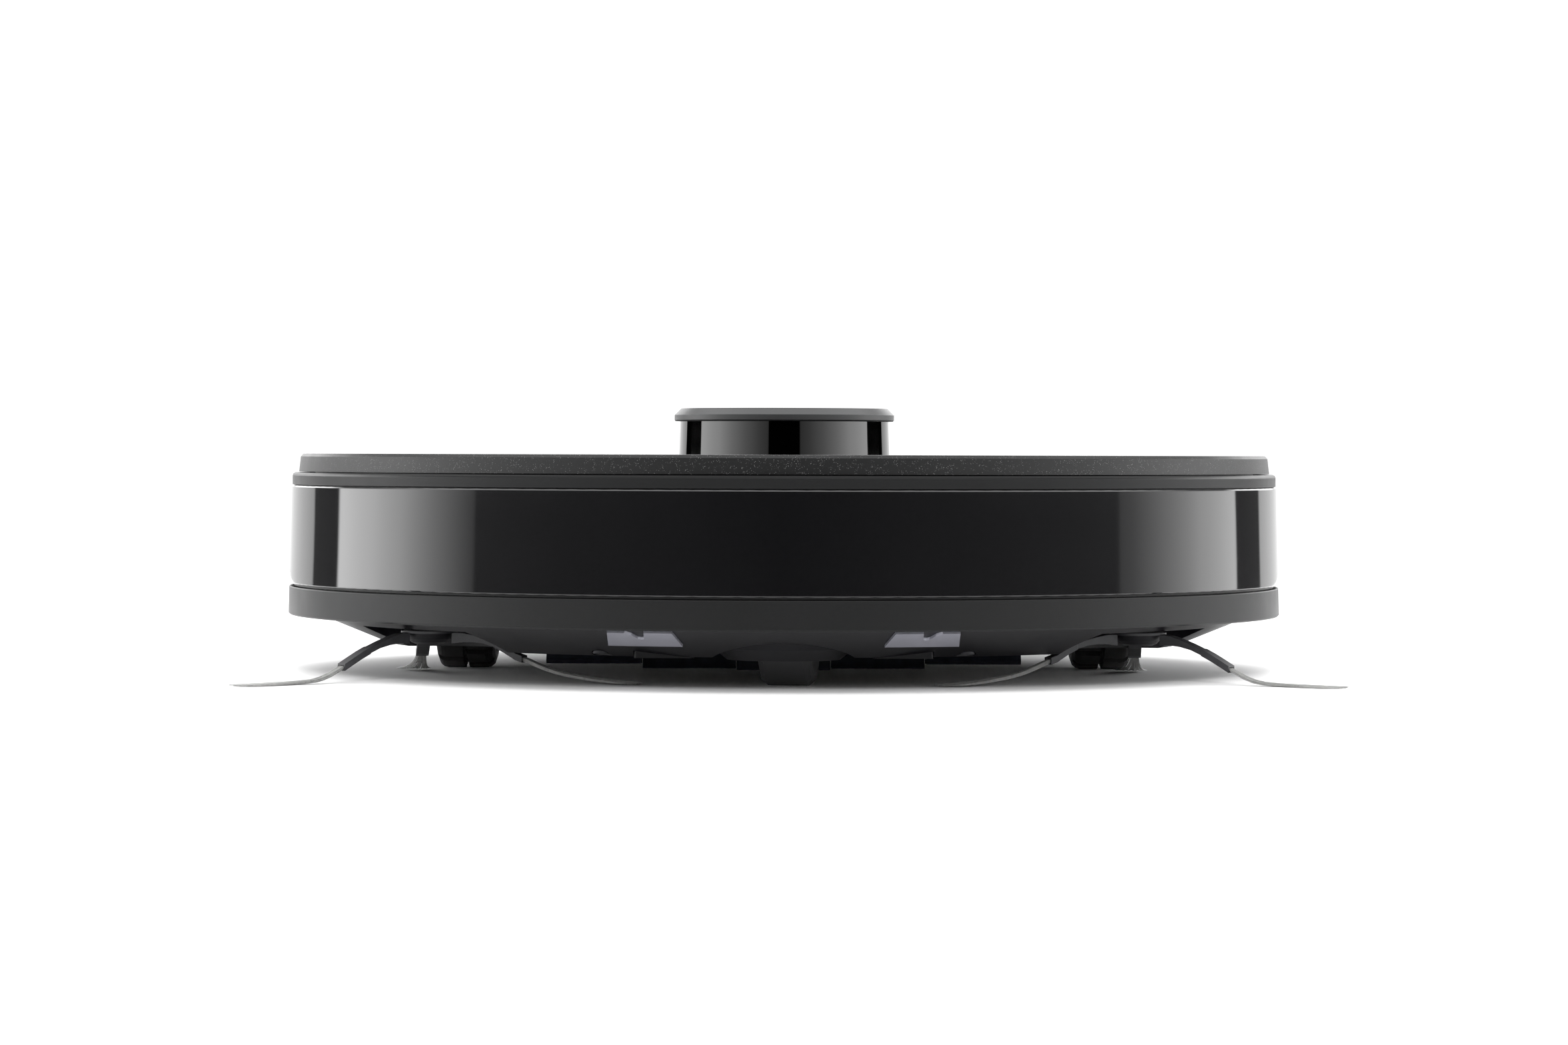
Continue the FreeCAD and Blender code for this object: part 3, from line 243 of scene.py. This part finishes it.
MATERIALS = {
    "deck_plastic": plastic("DeckPlastic", (0.010, 0.0102, 0.0105), 0.36, depth=0.00002, fleck=0.45,
                            edge=0.00015, shine=0.25),
    "bumper_plastic": plastic("BumperPlastic", (0.006, 0.0062, 0.0065), 0.36, depth=0.00002, shine=0.2),
    "sensor_window": plastic("SensorWindow", (0.003, 0.003, 0.004), 0.3, shine=0.12),
    "hull_plastic": plastic("HullPlastic", (0.005, 0.0048, 0.0065), 0.3, grain=0.0006, depth=0.000004,
                            shine=0.25),
    "inner_plastic": plastic("InnerPlastic", (0.03, 0.03, 0.033), 0.45),
    "bumper_gloss": gloss("BumperGloss", (0.005, 0.005, 0.0055), 0.05),
    "turret_gloss": gloss("TurretGloss", (0.0005, 0.0005, 0.0005), 0.04),
    "cap_plastic": plastic("CapPlastic", (0.05, 0.051, 0.052), 0.38, shine=0.45),
    "contact_metal": metal("ContactMetal", (0.42, 0.42, 0.47), 0.6, (1, 1, 6)),
    "steel": metal("Steel", (0.6, 0.6, 0.61), 0.25),
    "black_steel": metal("BlackSteel", (0.03, 0.03, 0.032), 0.35),
    "tyre_rubber": rubber("TyreRubber", (0.018, 0.018, 0.018), 0.7),
    "rim_plastic": plastic("RimPlastic", (0.04, 0.04, 0.042), 0.4),
    "arm_rubber": rubber("ArmRubber", (0.022, 0.022, 0.025), 0.45),
    "bristle": nylon("BristleNylon", (0.4, 0.4, 0.39), 0.3, 0.1),
    "brush_rubber": rubber("BrushRubber", (0.03, 0.035, 0.05), 0.55),
    "brush_core": plastic("BrushCore", (0.03, 0.03, 0.04), 0.4),
    "bin_plastic": gloss("BinPlastic", (0.03, 0.035, 0.04), 0.15),
    "filter_paper": paper("FilterPaper"),
    "latch_plastic": plastic("LatchPlastic", (0.3, 0.07, 0.015), 0.4),
    "board": board_green("BoardGreen"),
    "battery_wrap": gloss("BatteryWrap", (0.01, 0.03, 0.1), 0.25),
    "motor_metal": metal("MotorMetal", (0.5, 0.5, 0.5), 0.35),
    "lens_glass": glassy("LensGlass", (0.06, 0.015, 0.02)),
    "belt_rubber": rubber("BeltRubber", (0.02, 0.02, 0.02), 0.7),
    "white_plastic": plastic("WhitePlastic", (0.6, 0.6, 0.57), 0.4, spread=0.04),
}

slot_of = {part["node"]: part["material_slot"] for part in frame["record"]["subparts"]}
slot_of["body_screws"] = "black_steel"  # the screws are blackened
for name, obj in nodes.items():
    obj.data.materials.clear()
    obj.data.materials.append(MATERIALS[slot_of[name]])


# ---------------------------------------------------------------- side brush bristles

def tube(points, radii, sides, verts, faces):
    """A closed thin tube through the points, added to the lists."""
    base = len(verts)
    count = len(points)
    for i, (point, radius) in enumerate(zip(points, radii)):
        ahead = points[min(i + 1, count - 1)] - points[max(i - 1, 0)]
        side = ahead.cross(Vector((0, 0, 1))).normalized()
        up = side.cross(ahead).normalized()
        for k in range(sides):
            angle = 2 * math.pi * k / sides
            verts.append(point + (side * math.cos(angle) + up * math.sin(angle)) * radius)
    for i in range(count - 1):
        for k in range(sides):
            a, b = base + i * sides + k, base + i * sides + (k + 1) % sides
            faces.append((a, b, b + sides, a + sides))
    faces.append(tuple(base + k for k in reversed(range(sides))))
    faces.append(tuple(base + (count - 1) * sides + k for k in range(sides)))


def mesh_object(name, verts, faces, material, smooth=True):
    """A new object in the scene from plain lists."""
    mesh = bpy.data.meshes.new(name)
    mesh.from_pydata([tuple(v) for v in verts], [], faces)
    mesh.materials.append(material)
    if smooth:
        mesh.polygons.foreach_set("use_smooth", [True] * len(mesh.polygons))
    mesh.update()
    obj = bpy.data.objects.new(name, mesh)
    bpy.context.scene.collection.objects.link(obj)
    return obj


# height of a tuft's middle line against distance from the hub, in millimetres
PRESSED_TUFT = (
    (33, 6.5), (35.4, 5.2), (38, 3.8), (40.5, 2.7), (43, 1.8),
    (46, 1.05), (52, 0.7), (62, 0.55), (78, 0.42),
)
FREE_TUFT = (
    (33, 8.5), (35.4, 7.8), (38, 6.9), (41, 5.6), (46, 4.0),
    (52, 2.7), (62, 1.4), (70, 0.8), (78, 0.45),
)

# the strands of a tuft; lengths are in millimetres
ARMS = 3
STRANDS = 64
STRAND_STEPS = 12
STRAND_SIDES = 5
STRAND_RADIUS = 0.13
TIP_RADIUS = 0.1
LOWEST_STRAND = 0.2
TUFT_START = 33.2
TUFT_REACH = 77.6
RAGGED_END = 3.2
ROUNDED_END = 2.4
HALF_WIDTH = 1.35
FAN_OUT = 4.6
STRAY = 0.6
HALF_DEPTH_AT_CUFF = 0.62
HALF_DEPTH_AT_TIP = 0.12


def tuft_height(line, radius):
    """Height of a tuft's middle line at this distance from the hub."""
    for (r0, z0), (r1, z1) in zip(line, line[1:]):
        if radius <= r1:
            return z0 + (z1 - z0) * max(0.0, (radius - r0) / (r1 - r0))
    return line[-1][1]


def strand(line, rng):
    """One filament of an arm that points along X: points in millimetres and radii in metres."""
    across = rng.uniform(-1, 1)
    stack = rng.uniform(-1, 1)
    reach = TUFT_REACH - RAGGED_END * rng.random() ** 2 - ROUNDED_END * across * across
    bend = rng.uniform(-STRAY, STRAY)
    points, radii = [], []
    for i in range(STRAND_STEPS + 1):
        t = i / STRAND_STEPS
        radius = TUFT_START + (reach - TUFT_START) * t
        fan = across * (HALF_WIDTH + FAN_OUT * t ** 1.4) + bend * t * t
        depth = (HALF_DEPTH_AT_CUFF - HALF_DEPTH_AT_TIP) * (1 - t) + HALF_DEPTH_AT_TIP
        height = tuft_height(line, radius) + stack * depth
        points.append(Vector((radius, fan, max(LOWEST_STRAND, height))))
        radii.append((STRAND_RADIUS if t < 0.9 else TIP_RADIUS) / 1000)
    return points, radii


def bristles(side_name, turn, pressed, seed):
    """The tufts of one side brush; its first arm stands at turn degrees and the pressed one lies lowest."""
    rng = random.Random(seed)
    x, y, _ = joint_at[f"side_brush_{side_name}_spin"]
    verts, faces = [], []
    for arm in range(ARMS):
        spin = Matrix.Rotation(math.radians(turn + 360 / ARMS * arm), 3, "Z")
        for _ in range(STRANDS):
            points, radii = strand(PRESSED_TUFT if arm == pressed else FREE_TUFT, rng)
            world = [Vector((x, y, 0)) + spin @ point / 1000 for point in points]
            tube(world, radii, STRAND_SIDES, verts, faces)
    piece = mesh_object(f"side_bristle_tufts_{side_name}", verts, faces, MATERIALS["bristle"])
    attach(piece, f"side_brush_{side_name}")
    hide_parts(f"side_brush_bristles_{side_name}")


bristles("left", 98.5, 1, 11)
bristles("right", 87.5, 2, 23)


# ---------------------------------------------------------------- studio

def white(name, value):
    """Pale sweep of paper."""
    s = Shader(name)
    shade = s.ramp(s.noise(0.4, 2), [(0.3, grey(value * 0.99)), (0.7, grey(value))])
    s.link(shade, s.surface.inputs["Base Color"])
    s.surface.inputs["Roughness"].default_value = 0.55
    return s.material


FLOOR_CORNERS = [(-1.1, -2.0, 0), (1.1, -2.0, 0), (1.1, 1.3, 0), (-1.1, 1.3, 0)]
floor = mesh_object("Floor", FLOOR_CORNERS, [(0, 1, 2, 3)], white("FloorWhite", 0.9), smooth=False)


def softbox(name, azimuth, elevation, distance, size, power, lit_piece):
    """A round soft light that lights one piece; azimuth 0 is towards the camera, positive to its right."""
    data = bpy.data.lights.new(name, "AREA")
    data.shape = "DISK"
    data.size = size
    data.energy = power
    lamp = bpy.data.objects.new(name, data)
    a, e = math.radians(azimuth), math.radians(elevation)
    lamp.location = Vector((math.sin(a) * math.cos(e), -math.cos(a) * math.cos(e), math.sin(e))) * distance
    lamp.rotation_euler = (-lamp.location).to_track_quat("-Z", "Y").to_euler()
    bpy.context.scene.collection.objects.link(lamp)
    lit = bpy.data.collections.new(name + "Lit")
    lit.objects.link(lit_piece)
    lamp.light_linking.receiver_collection = lit


softbox("FloorKey", azimuth=0, elevation=27, distance=2.2, size=0.5, power=25, lit_piece=floor)


class Sky:
    """The studio round the object, painted by direction: side boxes, a white backdrop and a soft top."""

    def __init__(self):
        world = bpy.data.worlds.new("Studio")
        bpy.context.scene.world = world
        world.use_nodes = True
        self.tree = world.node_tree
        self.background = self.tree.nodes["Background"]
        self.background.inputs["Color"].default_value = (1, 1, 1, 1)
        where = self.tree.nodes.new("ShaderNodeTexCoord").outputs["Generated"]
        split = self.tree.nodes.new("ShaderNodeSeparateXYZ")
        self.tree.links.new(where, split.inputs["Vector"])
        self.x, self.y, self.z = (split.outputs[axis] for axis in "XYZ")

    def math(self, operation, first, second=None):
        made = self.tree.nodes.new("ShaderNodeMath")
        made.operation = operation
        for slot, value in enumerate((first, second)):
            if isinstance(value, (int, float)):
                made.inputs[slot].default_value = value
            elif value is not None:
                self.tree.links.new(value, made.inputs[slot])
        return made.outputs["Value"]

    def ramp(self, source, stops, top=4):
        """Brightness by azimuth, from (degrees, brightness) stops; none is brighter than top."""
        made = self.tree.nodes.new("ShaderNodeValToRGB")
        ends = made.color_ramp.elements
        for i, (degrees, value) in enumerate(stops):
            stop = ends[i] if i < 2 else ends.new(degrees / 180)
            stop.position = degrees / 180
            stop.color = (value / top, value / top, value / top, 1)
        self.tree.links.new(source, made.inputs["Fac"])
        return self.math("MULTIPLY", made.outputs["Color"], top)

    def blend(self, source, start, end):
        """0 below start, 1 above end and smooth between them."""
        made = self.tree.nodes.new("ShaderNodeMapRange")
        made.interpolation_type = "SMOOTHSTEP"
        made.inputs["From Min"].default_value = start
        made.inputs["From Max"].default_value = end
        self.tree.links.new(source, made.inputs["Value"])
        return made.outputs["Result"]

    def mix(self, factor, low, high):
        """low at factor 0, high at factor 1."""
        difference = self.math("SUBTRACT", high, low)
        return self.math("ADD", low, self.math("MULTIPLY", factor, difference))


sky = Sky()
# 0 towards the camera, 1 behind the object, the same on both sides
azimuth = sky.math("ARCTAN2", sky.math("ABSOLUTE", sky.x), sky.math("MULTIPLY", sky.y, -1))
azimuth = sky.math("DIVIDE", azimuth, math.pi)
# side boxes in the band that the bumper's glossy strip mirrors, to the left and right of the object
left_boxes = sky.ramp(azimuth, [
    (0, 0.0), (50, 0.08), (73.8, 0.16), (74.8, 0.6), (76.4, 0.77), (86.3, 1.95), (97.7, 3.45),
    (107.9, 4.0), (119.7, 3.8), (123.4, 3.6), (124.2, 0.1), (138.5, 0.1), (139.5, 1.1),
])
right_boxes = sky.ramp(azimuth, [
    (0, 0.0), (50, 0.08), (81.4, 0.16), (82.4, 0.55), (85.9, 0.69), (97.2, 1.59),
    (110.2, 2.53), (122, 2.65), (127.2, 2.6), (127.8, 0.1), (143, 0.1), (144, 1.1),
])
# side boxes in the band above it, which the turret's window mirrors
high_boxes = sky.ramp(azimuth, [
    (0, 0.0), (16.8, 0.0), (17.6, 0.5), (27.5, 0.75), (43, 1.4), (59, 2.35), (76, 3.7),
    (95.5, 4.0), (103.5, 3.8), (104.3, 0.0), (135.5, 0.0), (137, 1.25),
])
# their upper part, which only the plain plastic faces mirror
tall_boxes = sky.ramp(azimuth, [
    (0, 0.0), (20, 0.5), (42, 1.5), (60, 2.2), (78, 3.2), (90, 4.0), (100, 4.8), (112, 5.3),
    (123, 5.4), (131, 4.6), (140, 3.6), (180, 2.5),
], 6)
right = sky.blend(sky.x, -0.05, 0.05)
low_side = sky.mix(right, left_boxes, right_boxes)
high_side = sky.math("MULTIPLY", high_boxes, sky.mix(right, 1.0, 0.9))
tall_side = sky.math("MULTIPLY", tall_boxes, sky.mix(sky.blend(sky.z, 0.36, 0.44), 1.0, 0.1))

# the turret's window leans back a little more than the bumper's, so it mirrors a slightly higher band
towards_camera = sky.math("COSINE", sky.math("MULTIPLY", azimuth, math.pi / 2))
level = sky.math("SUBTRACT", sky.z, sky.math("MULTIPLY", TURRET_BAND_RISE, towards_camera))
boxes = sky.mix(sky.blend(level, -0.007, 0.002), low_side, high_side)
boxes = sky.mix(sky.blend(sky.z, 0.10, 0.14), boxes, tall_side)

# a soft top above the boxes, and plain white below the horizon
studio = sky.mix(sky.blend(sky.z, 0.5, 0.75), boxes, TOP_LIGHT)
studio = sky.mix(sky.blend(sky.z, -0.12, -0.06), 1.0, studio)
sky.tree.links.new(studio, sky.background.inputs["Strength"])
bpy.context.scene.view_settings.view_transform = "Standard"


# ---------------------------------------------------------------- camera

camera_data = bpy.data.cameras.new("Camera")
camera_data.lens = LENS
camera_data.sensor_width = SENSOR_WIDTH
camera_data.clip_start = CLIP_START
camera = bpy.data.objects.new("Camera", camera_data)
tilt = Matrix.Rotation(math.pi / 2 + CAMERA_PITCH, 4, "X") @ Matrix.Rotation(CAMERA_ROLL, 4, "Z")
camera.matrix_world = Matrix.Translation((0, -CAMERA_DISTANCE, CAMERA_HEIGHT)) @ tilt
bpy.context.scene.collection.objects.link(camera)
bpy.context.scene.camera = camera
bpy.context.view_layer.update()
